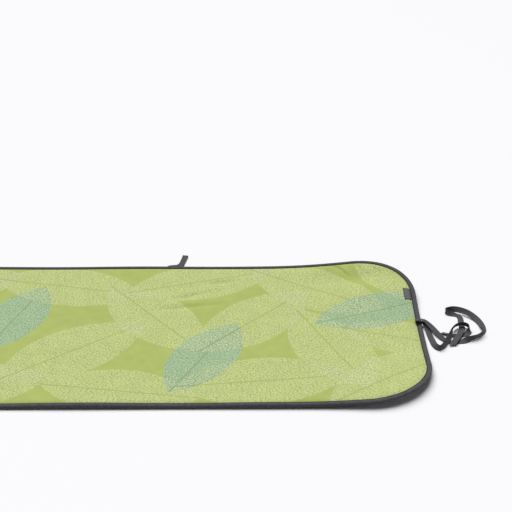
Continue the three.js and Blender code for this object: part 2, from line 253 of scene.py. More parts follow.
backing = make_sheet(
    "backing_sheet", PLAIN_STEPS, LAYER_INSETS,
    lambda x, y, inset: backing_under(x, y, inset) + CLOTH_THICK, backing_under,
)

# Woven cotton with a silvery heat-resistant finish: a pale grey, slightly shiny plain weave.
# The threads are drawn 1.6 mm apart, coarser than the real 0.6 mm, so that they show.
BACKING_THREAD = 1.6 * MM
BACKING_PATCH = 40 * MM
material, tree, shader = new_material("silvered_cotton", 0.55, 0.1)
place = add_node(tree, "TexCoord").outputs["Object"]
grain = add_node(tree, "TexNoise", {"Vector": place, "Scale": 1 / BACKING_PATCH, "Detail": 4.0})
colour = add_node(
    tree, "Mix", {0: grain.outputs["Fac"], 6: to_linear("#b9bbb9"), 7: to_linear("#d2d4d1")},
    data_type="RGBA",
)
weave = add_node(tree, "TexChecker", {"Vector": place, "Scale": 1 / BACKING_THREAD})
bump = add_node(
    tree, "Bump", {"Height": weave.outputs["Fac"], "Strength": 0.25, "Distance": 0.2 * MM},
)
join_shader(tree, shader, colour.outputs[2], bump)
backing.data.materials.append(material)
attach(backing, "pad")
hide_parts("backing_cloth")

# Felt layer
# A needled polyester felt, 5 mm thick, that gives the pad its body and takes up the heat.
# It is cut to the outline and squeezed to half its loft inside the binding.
FELT_RIM = (2.75 * MM, 5.35 * MM)
FELT_FULL = (0.9 * MM, 5.9 * MM)
CREASED_STEPS = (46, 176, 104)
CREASED_INSETS = [inset * MM for inset in (
    3.6, 8, 11, 12.6, 13.4, 14.2, 15.2, 16.5, 18, 20, 22.5, 25.5, 29, 33, 38, 44)]

# Soft dents that the rolled-up pad keeps, as (x, y, reach along x, reach along y, depth)
DENTS = [
    (0.380, 0.235, 0.050, 0.040, 2.2 * MM),
    (0.435, 0.190, 0.060, 0.030, 1.2 * MM),
    (0.335, 0.285, 0.045, 0.022, -1.0 * MM),
    (0.560, 0.205, 0.035, 0.030, 1.2 * MM),
    (-0.395, 0.250, 0.050, 0.060, 1.6 * MM),
    (0.155, -0.240, 0.090, 0.030, 1.0 * MM),
    (-0.165, 0.030, 0.120, 0.060, 1.0 * MM),
    (0.515, -0.060, 0.060, 0.070, 1.1 * MM),
]
# Creases where the corner starts to lift at the back, and fainter ones across the middle, as
# (start x, start y, end x, end y, half width, depth). A depth below zero is a ridge.
CREASES = [
    (0.426, 0.318, 0.476, 0.250, 3.4 * MM, 5.0 * MM),
    (0.484, 0.314, 0.518, 0.254, 3.4 * MM, 4.0 * MM),
    (0.526, 0.298, 0.556, 0.244, 4.0 * MM, 2.6 * MM),
    (0.395, 0.312, 0.430, 0.195, 11.0 * MM, -3.0 * MM),
    (0.072, 0.315, 0.088, 0.252, 6.5 * MM, 3.2 * MM),
    (-0.010, 0.101, 0.170, 0.131, 9.0 * MM, 3.2 * MM),
    (0.020, 0.152, 0.155, 0.206, 9.0 * MM, 2.6 * MM),
    (0.105, 0.229, 0.190, 0.249, 8.0 * MM, 2.6 * MM),
    (-0.470, 0.312, -0.436, 0.262, 6.5 * MM, 2.0 * MM),
    (-0.350, -0.124, -0.170, -0.092, 9.0 * MM, 1.1 * MM),
    (0.230, -0.140, 0.365, -0.216, 9.0 * MM, 1.1 * MM),
]
CREASE_OPENS = (-0.3, 0.2)
CREASE_CLOSES = (0.3, 1.1)
# A low bank runs beside each crease, in half widths of the crease
BANK_HEIGHT = 0.45
BANK_PLACE = 2.2
BANK_WIDTH = 1.6
DENTS_FROM = 0.4 * SHOULDER_WIDTH
# The soft layers roll slightly all over, in waves about 0.3 m long that wander
ROLLING = 0.35 * MM
ROLL_X, ROLL_Y = 0.047, 0.039
WANDER_X, WANDER_Y = 0.08, 0.06
WANDER = 1.3
# The seam draws the layers down beside the binding
SEAM_DIP = 1.0 * MM
SEAM_DIP_REACH = 4 * MM


def seam_dip(inset):
    return SEAM_DIP * np.exp(-((inset - BINDING_WIDTH) / SEAM_DIP_REACH) ** 2)


def dents(x, y):
    roll_x = np.sin(x / ROLL_X + WANDER * np.sin(y / WANDER_Y))
    roll_y = np.sin(y / ROLL_Y + np.sin(x / WANDER_X))
    depth = ROLLING * roll_x * roll_y
    for at_x, at_y, reach_x, reach_y, deep in DENTS:
        depth = depth + deep * hollow(x, y, at_x, at_y, reach_x, reach_y)
    for from_x, from_y, to_x, to_y, half, deep in CREASES:
        run_x, run_y = to_x - from_x, to_y - from_y
        share = ((x - from_x) * run_x + (y - from_y) * run_y) / (run_x ** 2 + run_y ** 2)
        away = ((x - from_x) * run_y - (y - from_y) * run_x) / math.hypot(run_x, run_y)
        fade = smooth_step(share, *CREASE_OPENS) * (1 - smooth_step(share, *CREASE_CLOSES))
        valley = np.exp(-(away / half) ** 2)
        bank = BANK_HEIGHT * np.exp(-((away + BANK_PLACE * half) / (BANK_WIDTH * half)) ** 2)
        depth = depth + deep * fade * (valley - bank)
    return depth * smooth_step(inset_at(x, y), BINDING_WIDTH, BINDING_WIDTH + DENTS_FROM)


def raised(x, y):
    return lift(x, y) + puff(x, y) - dents(x, y) - seam_dip(inset_at(x, y))


def felt_under(x, y, inset):
    return shoulder(inset, FELT_RIM[0], FELT_FULL[0]) + lift(x, y) + PUFF_BELOW * puff(x, y)


felt = make_sheet(
    "felt_sheet", CREASED_STEPS, CREASED_INSETS,
    lambda x, y, inset: shoulder(inset, FELT_RIM[1], FELT_FULL[1]) + raised(x, y),
    felt_under,
)

# Needled polyester felt: off-white, quite matt, with tangled fibres in paler and darker tufts.
FELT_FIBRE = 3 * MM
material, tree, shader = new_material("needled_felt", 0.95, 0.3)
place = add_node(tree, "TexCoord").outputs["Object"]
fibres = add_node(
    tree, "TexNoise", {"Vector": place, "Scale": 1 / FELT_FIBRE, "Detail": 6.0, "Distortion": 1.5},
)
colour = add_node(
    tree, "Mix", {0: fibres.outputs["Fac"], 6: to_linear("#bdb9b1"), 7: to_linear("#e6e3dc")},
    data_type="RGBA",
)
bump = add_node(
    tree, "Bump", {"Height": fibres.outputs["Fac"], "Strength": 0.6, "Distance": 0.5 * MM},
)
join_shader(tree, shader, colour.outputs[2], bump)
felt.data.materials.append(material)
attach(felt, "pad")
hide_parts("felt_layer")

# Foam layer
# A 2 mm sheet of open-cell polyurethane foam under the cover, which lets steam spread.
# It is cut to the outline and squeezed flat inside the binding.
FOAM_RIM = (5.65 * MM, 6.65 * MM)
FOAM_FULL = (6.2 * MM, 8.2 * MM)
foam = make_sheet(
    "foam_sheet", CREASED_STEPS, CREASED_INSETS,
    lambda x, y, inset: shoulder(inset, FOAM_RIM[1], FOAM_FULL[1]) + raised(x, y),
    lambda x, y, inset: shoulder(inset, FOAM_RIM[0], FOAM_FULL[0]) + raised(x, y),
)

# Open-cell polyurethane foam: cream, matt, with round open cells about 1 mm across.
FOAM_CELL = 1.2 * MM
material, tree, shader = new_material("open_cell_foam", 0.9, 0.0)
place = add_node(tree, "TexCoord").outputs["Object"]
cells = add_node(tree, "TexVoronoi", {"Vector": place, "Scale": 1 / FOAM_CELL})
colour = add_node(
    tree, "Mix", {0: cells.outputs["Distance"], 6: to_linear("#cfc8b2"), 7: to_linear("#efe9d8")},
    data_type="RGBA",
)
bump = add_node(
    tree, "Bump", {"Height": cells.outputs["Distance"], "Strength": 0.7, "Distance": 0.4 * MM},
)
join_shader(tree, shader, colour.outputs[2], bump)
foam.data.materials.append(material)
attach(foam, "pad")
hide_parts("foam_layer")

# Top cover
# The ironing face: printed cotton, woven plain and fine, stretched over the soft layers.
# Its edge goes under the binding, which draws it down all round in a soft shoulder.
COVER_RIM = 7.55 * MM
COVER_FULL = 9.1 * MM
# The seam gathers the cover in small puckers beside the binding, which drift along it
PUCKER = 0.22 * MM
PUCKER_LENGTH = 0.019
PUCKER_INSET = 19 * MM
PUCKER_REACH = 6 * MM
DRIFT = 2
DRIFT_X, DRIFT_Y = 9, 13


def cover_top(x, y, inset):
    near = np.exp(-((inset - PUCKER_INSET) / PUCKER_REACH) ** 2)
    phase = (x - y) * math.tau / PUCKER_LENGTH
    phase = phase + DRIFT * np.sin(DRIFT_X * x) + DRIFT * np.sin(DRIFT_Y * y)
    return shoulder(inset, COVER_RIM, COVER_FULL) + raised(x, y) + PUCKER * near * np.sin(phase)


cover = make_sheet(
    "printed_cover", CREASED_STEPS, CREASED_INSETS, cover_top,
    lambda x, y, inset: cover_top(x, y, inset) - CLOTH_THICK,
)

# Printed cotton: a matt plain weave in leaf green. The print is a scatter of big leaves, filled
# with pale grains in lime or in sea green either side of a midrib, and whiter where two cross.
# Each leaf is (middle x, middle y, length, width, turn in degrees, lime or sea).
LEAVES = [
    (-0.580, 0.205, 0.40, 0.185, 24, "lime"),
    (-0.545, -0.020, 0.38, 0.175, -58, "lime"),
    (-0.455, -0.245, 0.40, 0.185, 11, "lime"),
    (-0.385, 0.060, 0.33, 0.150, 71, "sea"),
    (-0.270, 0.215, 0.41, 0.190, -13, "lime"),
    (-0.225, -0.095, 0.42, 0.195, 38, "lime"),
    (-0.095, -0.265, 0.38, 0.175, -9, "lime"),
    (-0.035, 0.060, 0.40, 0.185, -52, "lime"),
    (0.075, 0.240, 0.40, 0.185, 17, "lime"),
    (0.095, -0.120, 0.34, 0.155, 63, "sea"),
    (0.215, 0.045, 0.40, 0.185, 47, "lime"),
    (0.235, -0.225, 0.42, 0.195, 6, "lime"),
    (0.375, 0.195, 0.41, 0.190, -33, "lime"),
    (0.405, -0.085, 0.40, 0.185, -66, "lime"),
    (0.520, 0.085, 0.33, 0.150, 20, "sea"),
    (0.545, -0.215, 0.39, 0.180, 34, "lime"),
    (0.600, 0.235, 0.34, 0.160, -48, "lime"),
    (0.585, -0.040, 0.32, 0.150, -18, "lime"),
]
# The grains are drawn out along the leaf, in rows that sway a little
GRAIN_PITCH = 5.8 * MM
GRAIN_STRETCH = 0.55
GRAIN_SCATTER = 0.85
GRAIN_RIM = 0.52
GRAIN_CORE = 0.3
GRAIN_FLOW = 55 * MM
GRAIN_SWAY = 12 * MM
CROSSING_WHITENS = 0.6
SLUB_SIZE = 28 * MM
COVER_THREAD = 1.5 * MM
EDGE_SOFTNESS = 1.2 * MM
MIDRIB = 1.6 * MM

material, tree, shader = new_material("printed_cotton", 0.85, 0.05)
place = add_node(tree, "TexCoord").outputs["Object"]
flow = add_node(
    tree, "TexNoise", {"Vector": place, "Scale": 1 / GRAIN_FLOW, "Detail": 1.0},
).outputs["Color"]
sway = add_node(tree, "VectorMath", {0: flow, 1: (0.5, 0.5, 0.5)}, operation="SUBTRACT").outputs[0]
grain_place = place
leaf_rib = 1.0
masks = {"lime": [], "sea": []}
for middle_x, middle_y, length, width, turn, kind in LEAVES:
    own = add_node(
        tree, "Mapping",
        {"Vector": place, "Location": (middle_x, middle_y, 0),
         "Rotation": (0, 0, math.radians(turn))},
        vector_type="TEXTURE",
    ).outputs[0]
    radius = (length ** 2 + width ** 2) / (4 * width)
    parts = add_node(tree, "SeparateXYZ", {0: own})
    from_vein = add_node(tree, "Math", {0: parts.outputs[1]}, operation="ABSOLUTE").outputs[0]
    off_axis = add_node(
        tree, "Math", {0: from_vein, 1: radius - width / 2},
        operation="ADD",
    ).outputs[0]
    spot = add_node(tree, "CombineXYZ", {0: parts.outputs[0], 1: off_axis}).outputs[0]
    away = add_node(tree, "VectorMath", {0: spot}, operation="LENGTH").outputs["Value"]
    mask = add_node(
        tree, "MapRange",
        {"Value": away, "From Min": radius, "From Max": radius - EDGE_SOFTNESS},
    ).outputs[0]
    masks[kind].append(mask)
    beside = add_node(
        tree, "MapRange",
        {"Value": from_vein, "From Min": MIDRIB, "From Max": MIDRIB + EDGE_SOFTNESS},
    ).outputs[0]
    leaf_rib = add_node(
        tree, "Mix", {0: mask, 2: leaf_rib, 3: beside},
        data_type="FLOAT",
    ).outputs[0]
    grain_place = add_node(
        tree, "Mix", {0: mask, 4: grain_place, 5: own},
        data_type="VECTOR",
    ).outputs[1]

totals = {}
for kind, found in masks.items():
    total = found[0]
    for mask in found[1:]:
        total = add_node(tree, "Math", {0: total, 1: mask}, operation="ADD").outputs[0]
    totals[kind] = total
lime = add_node(tree, "Math", {0: totals["lime"], 1: 1.0}, operation="MINIMUM").outputs[0]
sea = add_node(tree, "Math", {0: totals["sea"], 1: 1.0}, operation="MINIMUM").outputs[0]
either = add_node(tree, "Math", {0: totals["lime"], 1: totals["sea"]}, operation="ADD").outputs[0]
printed = add_node(tree, "Math", {0: either, 1: 1.0}, operation="MINIMUM").outputs[0]
crossed = add_node(
    tree, "MapRange",
    {"Value": either, "From Min": 1.0, "From Max": 2.0, "To Max": CROSSING_WHITENS},
).outputs[0]

swayed = add_node(
    tree, "VectorMath", {0: sway, 1: (GRAIN_SWAY, GRAIN_SWAY, 0), 2: grain_place},
    operation="MULTIPLY_ADD",
).outputs[0]
stretched = add_node(
    tree, "VectorMath", {0: swayed, 1: (GRAIN_STRETCH, 1, 0)},
    operation="MULTIPLY",
).outputs[0]
grains = add_node(
    tree, "TexVoronoi",
    {"Vector": stretched, "Scale": 1 / (GRAIN_PITCH * GRAIN_STRETCH), "Randomness": GRAIN_SCATTER},
    voronoi_dimensions="2D",
)
grain = add_node(
    tree, "MapRange",
    {"Value": grains.outputs["Distance"], "From Min": GRAIN_RIM, "From Max": GRAIN_CORE},
    interpolation_type="SMOOTHSTEP",
).outputs[0]

ground = add_node(
    tree, "Mix", {0: lime, 6: to_linear("#a3b062"), 7: to_linear("#a0ac66")},
    data_type="RGBA",
).outputs[2]
ground = add_node(
    tree, "Mix", {0: sea, 6: ground, 7: to_linear("#869f70")},
    data_type="RGBA",
).outputs[2]
pale = add_node(
    tree, "Mix", {0: sea, 6: to_linear("#bfc88a"), 7: to_linear("#a6bc9d")},
    data_type="RGBA",
).outputs[2]
pale = add_node(
    tree, "Mix", {0: crossed, 6: pale, 7: to_linear("#c4cba2")},
    data_type="RGBA",
).outputs[2]
inked = add_node(tree, "Math", {0: grain, 1: printed}, operation="MULTIPLY").outputs[0]
inked = add_node(tree, "Math", {0: inked, 1: leaf_rib}, operation="MULTIPLY").outputs[0]
colour = add_node(tree, "Mix", {0: inked, 6: ground, 7: pale}, data_type="RGBA").outputs[2]

# Slubs in the yarn shade the cloth a little, from thread to thread and in broad patches
slub = add_node(
    tree, "TexNoise", {"Vector": place, "Scale": 1 / SLUB_SIZE, "Detail": 5.0},
).outputs["Fac"]
shade = add_node(
    tree, "MapRange",
    {"Value": slub, "From Min": 0.3, "From Max": 0.7, "To Min": 0.95, "To Max": 1.04},
).outputs[0]
colour = add_node(tree, "VectorMath", {0: colour, "Scale": shade}, operation="SCALE").outputs[0]

# Plain weave, over one and under one. The threads are drawn 1.5 mm apart, coarser than the real
# 0.5 mm, so that they show.
turns = add_node(
    tree, "VectorMath", {0: place, "Scale": math.pi / COVER_THREAD},
    operation="SCALE",
).outputs[0]
waves = add_node(tree, "VectorMath", {0: turns}, operation="SINE").outputs[0]
warp_weft = add_node(tree, "SeparateXYZ", {0: waves})
over = add_node(
    tree, "Math", {0: warp_weft.outputs[0], 1: warp_weft.outputs[1]},
    operation="MULTIPLY",
).outputs[0]
over = add_node(tree, "Math", {0: over, 1: 0.0}, operation="GREATER_THAN").outputs[0]
warp = add_node(tree, "Math", {0: warp_weft.outputs[0]}, operation="ABSOLUTE").outputs[0]
weft = add_node(tree, "Math", {0: warp_weft.outputs[1]}, operation="ABSOLUTE").outputs[0]
weave = add_node(tree, "Mix", {0: over, 2: weft, 3: warp}, data_type="FLOAT").outputs[0]
bump = add_node(tree, "Bump", {"Height": weave, "Strength": 0.3, "Distance": 0.15 * MM})
join_shader(tree, shader, colour, bump)
cover.data.materials.append(material)
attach(cover, "pad")
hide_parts("top_cover")

# Edge binding
# A dark grey cotton twill tape, folded in half round the edge of all the layers and sewn down
# through them. The fold swells into a round nose, and the seam pinches a groove near its edge.
STITCH_PITCH = 3.4 * MM
BINDING_THICK = 0.8 * MM
BINDING_TOP = 8.65 * MM
BINDING_BOTTOM = 0.75 * MM
NOSE_DEPTH = 4.4 * MM
SEAM_INSET = 10.5 * MM
# The groove is shallower underneath, and eases between stitches; the swell beside it is lower too
SEAM_GROOVE = 0.5 * MM
GROOVE_REACH = 1.1 * MM
GROOVE_BELOW = 0.6
GROOVE_EASE = 0.45
SWELL = 0.35 * MM
SWELL_INSET = 6.6 * MM
SWELL_REACH = 2.2 * MM
SWELL_BELOW = 0.4
LEG_STEPS = 10
NOSE_STEPS = 12


def edge_line(spacing):
    straight_x = HALF_LENGTH - CORNER_RADIUS
    straight_y = HALF_WIDTH - CORNER_RADIUS
    around = 4 * (straight_x + straight_y) + math.tau * CORNER_RADIUS
    count = 2 * round(around / spacing / 2)
    s = np.arange(count) * around / count
    places = np.zeros((count, 2))
    normals = np.zeros((count, 2))
    start = 0.0
    quarter = math.pi / 2 * CORNER_RADIUS
    sides = [
        ((HALF_LENGTH, -straight_y), (0, 1), 2 * straight_y),
        ((straight_x, HALF_WIDTH), (-1, 0), 2 * straight_x),
        ((-HALF_LENGTH, straight_y), (0, -1), 2 * straight_y),
        ((-straight_x, -HALF_WIDTH), (1, 0), 2 * straight_x),
    ]
    for corner, (run_x, run_y), long in sides:
        here = (s >= start) & (s < start + long)
        places[here] = np.array(corner) + np.outer(s[here] - start, (run_x, run_y))
        normals[here] = (run_y, -run_x)
        start += long
        here = (s >= start) & (s < start + quarter)
        turn = math.atan2(-run_x, run_y) + (s[here] - start) / CORNER_RADIUS
        side_end = np.array(corner) + np.array((run_x, run_y)) * long
        centre = side_end - CORNER_RADIUS * np.array((run_y, -run_x))
        outward = np.stack([np.cos(turn), np.sin(turn)], -1)
        places[here] = centre + CORNER_RADIUS * outward
        normals[here] = outward
        start += quarter
    return s, places, normals, around


def loft(name, rings, along, around, closed):
    stations, sides = rings.shape[:2]
    index = np.arange(stations * sides).reshape(stations, sides)
    after = np.roll(index, -1, axis=0) if closed else index[1:]
    before = index if closed else index[:-1]
    quads = np.stack([before, np.roll(before, -1, 1), np.roll(after, -1, 1), after], -1)
    quads = quads.reshape(-1, 4)
    points = rings.reshape(-1, 3)
    u_low = np.repeat(along[:len(before)], sides)
    u_high = np.repeat(along[1:len(before) + 1], sides)
    v_low = np.tile(around[:-1], len(before))
    v_high = np.tile(around[1:], len(before))
    maps = np.stack([
        np.stack([u_low, v_low], -1), np.stack([u_low, v_high], -1),
        np.stack([u_high, v_high], -1), np.stack([u_high, v_low], -1)], 1)
    if not closed:
        half = sides // 2
        for ring, where in ((0, along[0]), (stations - 1, along[-1])):
            k = np.arange(half - 1)
            strip = ring * sides + np.stack([k, k + 1, sides - 2 - k, sides - 1 - k], -1)
            quads = np.concatenate([quads, strip if ring == 0 else strip[:, ::-1]])
            flat = np.stack([np.full(strip.shape, where), around[strip % sides]], -1)
            maps = np.concatenate([maps, flat if ring == 0 else flat[:, ::-1]])
    made = make_piece(name, points, quads)
    if made.data.polygons[0].vertices[0] != quads[0][0]:
        maps = maps[:, ::-1]
    layer = made.data.uv_layers.new(name="tape")
    layer.data.foreach_set("uv", maps.reshape(-1))
    return made


s, edge_place, edge_normal, edge_length = edge_line(STITCH_PITCH / 2)
between_stitches = np.where(np.arange(len(s)) % 2 == 0, 0.0, 1.0)

leg = np.linspace(BINDING_WIDTH, NOSE_DEPTH, LEG_STEPS)
groove = np.exp(-((leg - SEAM_INSET) / GROOVE_REACH) ** 2)
swell = SWELL * np.exp(-((leg - SWELL_INSET) / SWELL_REACH) ** 2)
turn = np.linspace(math.pi / 2, -math.pi / 2, NOSE_STEPS + 1)[1:-1]
middle_z = (BINDING_TOP + BINDING_BOTTOM) / 2
half_z = (BINDING_TOP - BINDING_BOTTOM) / 2


def binding_side(thin):
    nose_in = NOSE_DEPTH - (NOSE_DEPTH - thin) * np.cos(turn)
    nose_z = middle_z + (half_z - thin) * np.sin(turn)
    inset = np.concatenate([leg, nose_in, leg[::-1]])
    upper_z = BINDING_TOP - thin + swell
    lower_z = BINDING_BOTTOM + thin - SWELL_BELOW * swell
    z = np.concatenate([upper_z, nose_z, lower_z[::-1]])
    pinch = np.concatenate([-groove, np.zeros(len(turn)), GROOVE_BELOW * groove[::-1]])
    return inset, z, pinch


outer_inset, outer_z, outer_pinch = binding_side(0.0)
inner_inset, inner_z, inner_pinch = binding_side(BINDING_THICK)
section_inset = np.concatenate([outer_inset, inner_inset[::-1]])
section_z = np.concatenate([outer_z, inner_z[::-1]])
section_pinch = np.concatenate([outer_pinch, inner_pinch[::-1]]) * SEAM_GROOVE
plan = edge_place[:, None, :] - section_inset[None, :, None] * edge_normal[:, None, :]
height = section_z - np.where(section_z > middle_z, seam_dip(section_inset), 0)
height = height + section_pinch * (1 - GROOVE_EASE * between_stitches[:, None])
above = (1 - PUFF_BELOW) * (section_z - BINDING_BOTTOM) / (BINDING_TOP - BINDING_BOTTOM)
puff_share = PUFF_BELOW + above
x, y = plan[..., 0], plan[..., 1]
height = height + lift(x, y) + puff_share * puff(x, y)
rings = np.concatenate([plan, height[..., None]], -1)
step_in = np.diff(section_inset, append=section_inset[0])
step_up = np.diff(section_z, append=section_z[0])
around = np.concatenate([[0], np.cumsum(np.hypot(step_in, step_up))])
tape_face = around[len(outer_inset) - 1]
binding = loft("binding_tape", rings, np.append(s, edge_length), around, True)

# Cotton twill tape: charcoal grey and matt, with slanting ribs and patches of paler fuzz. Along
# both sewn edges a band of painted shade darkens the tape, for the shadow in the seam's groove.
# The ribs are drawn 1.4 mm apart, coarser than the real 0.7 mm, so that they show.
TWILL_PITCH = 1.4 * MM
# Width, fade and depth of the painted shade along the seam
SEAM_SHADE_WIDTH = 2.6 * MM
SEAM_SHADE_FADE = 0.8 * MM
PAINTED_SEAM_SHADE = 0.35
TWILL_FUZZ = 9 * MM
material, tree, shader = new_material("charcoal_twill_tape", 0.8, 0.12)
tape_map = add_node(tree, "UVMap", uv_map="tape").outputs[0]
tape_parts = add_node(tree, "SeparateXYZ", {0: tape_map})
slant = add_node(
    tree, "Math", {0: tape_parts.outputs[0], 1: tape_parts.outputs[1]},
    operation="ADD",
).outputs[0]
slant = add_node(
    tree, "Math", {0: slant, 1: math.tau / TWILL_PITCH},
    operation="MULTIPLY",
).outputs[0]
rib = add_node(tree, "Math", {0: slant}, operation="SINE").outputs[0]
place = add_node(tree, "TexCoord").outputs["Object"]
fuzz = add_node(
    tree, "TexNoise", {"Vector": place, "Scale": 1 / TWILL_FUZZ, "Detail": 6.0},
).outputs["Fac"]
worn = add_node(tree, "MapRange", {"Value": fuzz, "From Min": 0.3, "From Max": 0.7}).outputs[0]
colour = add_node(
    tree, "Mix", {0: worn, 6: to_linear("#424144"), 7: to_linear("#535255")},
    data_type="RGBA",
).outputs[2]
ribbed = add_node(
    tree, "MapRange",
    {"Value": rib, "From Min": -1.0, "From Max": 1.0, "To Min": 0.8, "To Max": 1.1},
).outputs[0]
colour = add_node(tree, "VectorMath", {0: colour, "Scale": ribbed}, operation="SCALE").outputs[0]
from_fold = add_node(
    tree, "Math", {0: tape_parts.outputs[1], 1: tape_face / 2},
    operation="SUBTRACT",
).outputs[0]
from_fold = add_node(tree, "Math", {0: from_fold}, operation="ABSOLUTE").outputs[0]
# Painted shade: the tape is darkened in a band along each sewn edge, beside the seam
painted_seam_shade = add_node(
    tree, "MapRange",
    {"Value": from_fold, "From Min": tape_face / 2 - SEAM_SHADE_WIDTH - SEAM_SHADE_FADE,
     "From Max": tape_face / 2 - SEAM_SHADE_WIDTH, "To Min": 1.0, "To Max": PAINTED_SEAM_SHADE},
).outputs[0]
colour = add_node(tree, "VectorMath", {0: colour, "Scale": painted_seam_shade}, operation="SCALE").outputs[0]
bump = add_node(tree, "Bump", {"Height": rib, "Strength": 0.4, "Distance": 0.12 * MM})
join_shader(tree, shader, colour, bump)
binding.data.materials.append(material)
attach(binding, "pad")
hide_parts("edge_binding")

# Seam threads
# The lockstitch that holds the binding: one row of stitches on the upper face and one under it.
# Each stitch is a short run of dark polyester thread that dives into the cloth at both ends.
STITCH_LENGTH = 2.9 * MM
THREAD_RADIUS = 0.3 * MM
# How deep a stitch's ends dive and how thin they get, in terms of the thread's radius
STITCH_DIVE = 0.9
STITCH_TIP = 0.02
STITCH_PROUD = 0.75 * THREAD_RADIUS
STITCH_RINGS = 7
STITCH_SIDES = 6


def make_stitches(name, middles, runs, ups, length, radius):
    share = np.linspace(-1, 1, STITCH_RINGS)
    bend = -STITCH_DIVE * radius * share ** 4
    thick = radius * np.sqrt(np.maximum(1 - share ** 6, STITCH_TIP))
    angle = np.arange(STITCH_SIDES) / STITCH_SIDES * math.tau
    along = np.repeat(share * length / 2, STITCH_SIDES)
    side = np.outer(thick, np.cos(angle)).ravel()
    up = (np.outer(thick, np.sin(angle)) + bend[:, None]).ravel()
    sides = np.cross(ups, runs)
    points = middles[:, None] + along[:, None] * runs[:, None] + side[:, None] * sides[:, None]
    points = points + up[:, None] * ups[:, None]
    index = np.arange(STITCH_RINGS * STITCH_SIDES).reshape(STITCH_RINGS, STITCH_SIDES)
    after = np.roll(index, -1, 1)
    quads = np.stack([index[:-1], after[:-1], after[1:], index[1:]], -1).reshape(-1, 4)
    caps = [[row[0], row[1], row[2], row[3]] for row in (index[0][::-1], index[-1])]
    caps += [[row[0], row[3], row[4], row[5]] for row in (index[0][::-1], index[-1])]
    quads = np.concatenate([quads, np.array(caps)])
    shift = np.arange(len(middles)) * index.size
    faces = (quads[None] + shift[:, None, None]).reshape(-1, 4)
    return make_piece(name, points.reshape(-1, 3), faces)


def seam_stitches(name, z, puff_share, upward):
    place = edge_place[::2] - SEAM_INSET * edge_normal[::2]
    x, y = place[:, 0], place[:, 1]
    middles = np.column_stack([place, z + lift(x, y) + puff_share * puff(x, y)])
    runs = np.roll(middles, -1, axis=0) - np.roll(middles, 1, axis=0)
    runs /= np.linalg.norm(runs, axis=1, keepdims=True)
    ups = np.zeros_like(runs)
    ups[:, 2] = upward
    sides = np.cross(runs, ups)
    ups = np.cross(sides, runs)
    ups /= np.linalg.norm(ups, axis=1, keepdims=True)
    return make_stitches(name, middles, runs, ups, STITCH_LENGTH, THREAD_RADIUS)


# Polyester sewing thread: nearly black, with a slight sheen from its smooth twisted filaments.
THREAD_PLY = 0.5 * MM
thread_material, tree, shader = new_material("polyester_thread", 0.5, 0.2)
place = add_node(tree, "TexCoord").outputs["Object"]
ply = add_node(
    tree, "TexNoise", {"Vector": place, "Scale": 1 / THREAD_PLY, "Detail": 2.0},
).outputs["Fac"]
colour = add_node(
    tree, "Mix", {0: ply, 6: to_linear("#2b2a2c"), 7: to_linear("#4a494c")},
    data_type="RGBA",
).outputs[2]
bump = add_node(tree, "Bump", {"Height": ply, "Strength": 0.3, "Distance": 0.1 * MM})
join_shader(tree, shader, colour, bump)

TOP_STITCH_Z = BINDING_TOP - SEAM_GROOVE - seam_dip(SEAM_INSET) + STITCH_PROUD
UNDER_STITCH_Z = BINDING_BOTTOM + GROOVE_BELOW * SEAM_GROOVE - STITCH_PROUD
for name, node, z, puff_share, upward in [
    ("stitches_top", "seam_thread_top", TOP_STITCH_Z, 1.0, 1),
    ("stitches_under", "seam_thread_under", UNDER_STITCH_Z, PUFF_BELOW, -1),
]:
    stitches = seam_stitches(name, z, puff_share, upward)
    stitches.data.materials.append(thread_material)
    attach(stitches, "pad")
    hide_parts(node)

# Side label
# A small woven label of dark grey polyester, folded and caught in the binding's seam, that lies
# on the cover. It is left bare, with only the woven border that such labels have.
label_low, label_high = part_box("side_label")
LABEL_FROM = label_low.y
LABEL_TO = label_high.y
LABEL_REACH = 18 * MM
LABEL_START = 13.8 * MM
LABEL_THICK = 0.6 * MM
LABEL_GAP = 0.4 * MM
LABEL_TURN_UP = 0.9 * MM
LABEL_COLUMNS = 16
LABEL_ROWS = 30

reach = np.linspace(0, 1, LABEL_COLUMNS + 1)
label_y = np.linspace(LABEL_FROM, LABEL_TO, LABEL_ROWS + 1)
beyond = np.maximum(label_y - (HALF_WIDTH - CORNER_RADIUS), 0)


def end_x(inset):
    return HALF_LENGTH - CORNER_RADIUS + np.sqrt((CORNER_RADIUS - inset) ** 2 - beyond ** 2)


label_rings = []
for share in np.concatenate([reach, reach[::-1]]):
    inset = LABEL_START + LABEL_REACH * share
    x = end_x(inset)
    z = cover_top(x, label_y, np.full(len(x), inset)) + LABEL_GAP + LABEL_TURN_UP * share ** 3
    label_rings.append(np.column_stack([x, label_y, z]))
label_rings = np.array(label_rings).transpose(1, 0, 2)
label_rings[:, :LABEL_COLUMNS + 1, 2] += LABEL_THICK
label_around = np.concatenate([reach * LABEL_REACH, reach[::-1] * LABEL_REACH, [0]])
label = loft("woven_label", label_rings, label_y - LABEL_FROM, label_around, False)

# Woven polyester damask: slate grey with a satin gleam, fine cross ribs and a darker border.
# The ribs are drawn 0.9 mm apart, coarser than the real 0.3 mm, so that they show.
LABEL_RIB = 0.9 * MM
BORDER_INSET = 1.6 * MM
BORDER_WIDTH = 0.9 * MM
material, tree, shader = new_material("damask_label", 0.5, 0.3)
tape_map = add_node(tree, "UVMap", uv_map="tape").outputs[0]
tape_parts = add_node(tree, "SeparateXYZ", {0: tape_map})
from_edges = []
for part, size in zip(tape_parts.outputs, (LABEL_TO - LABEL_FROM, LABEL_REACH)):
    from_middle = add_node(tree, "Math", {0: part, 1: size / 2}, operation="SUBTRACT").outputs[0]
    from_middle = add_node(tree, "Math", {0: from_middle}, operation="ABSOLUTE").outputs[0]
    from_edge = add_node(tree, "Math", {0: size / 2, 1: from_middle}, operation="SUBTRACT")
    from_edges.append(from_edge.outputs[0])
border = add_node(
    tree, "Math", {0: from_edges[0], 1: from_edges[1]},
    operation="MINIMUM",
).outputs[0]
